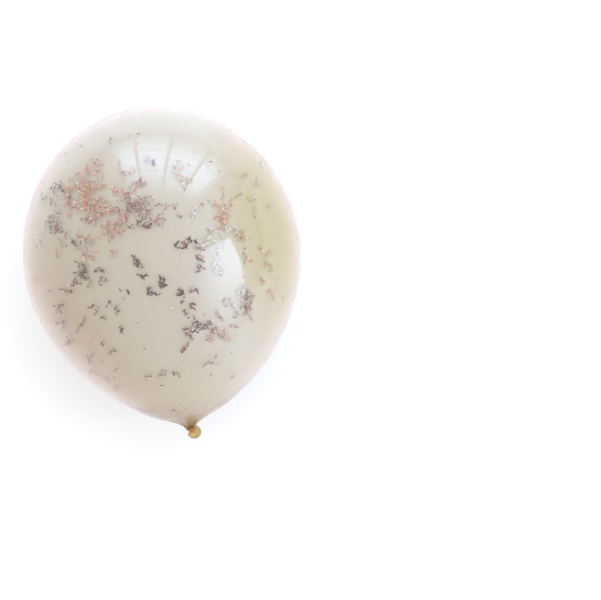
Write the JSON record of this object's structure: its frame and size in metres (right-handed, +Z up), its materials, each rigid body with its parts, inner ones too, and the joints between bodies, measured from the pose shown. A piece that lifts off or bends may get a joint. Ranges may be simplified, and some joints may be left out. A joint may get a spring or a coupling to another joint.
{
  "type": "double-layer confetti balloon",
  "caption": "Round latex party balloon, clear over an ivory inner balloon with foil shreds between them, blown up, tied and lying on its side.",
  "frame": {"origin": "centre of the small flat spot that the balloon lies on", "axes": "+Z up as it lies; +Y towards the crown, with the neck and knot at -Y; +X to the right when looking down with the crown away from the viewer"},
  "size_m": [0.4, 0.4828, 0.3978],
  "materials": {
    "clear_latex": "clear, glossy, faintly pink where it is seen edge on",
    "amber_latex": "the same latex unstretched: translucent amber, satin",
    "ivory_latex": "stretched ivory latex of the balloon inside, satin",
    "rose_gold_foil": "metallised film cut in thin curled shreds"
  },
  "bodies": {
    "root": {"outer_balloon": "clear_latex"}
  },
  "joints": []
}
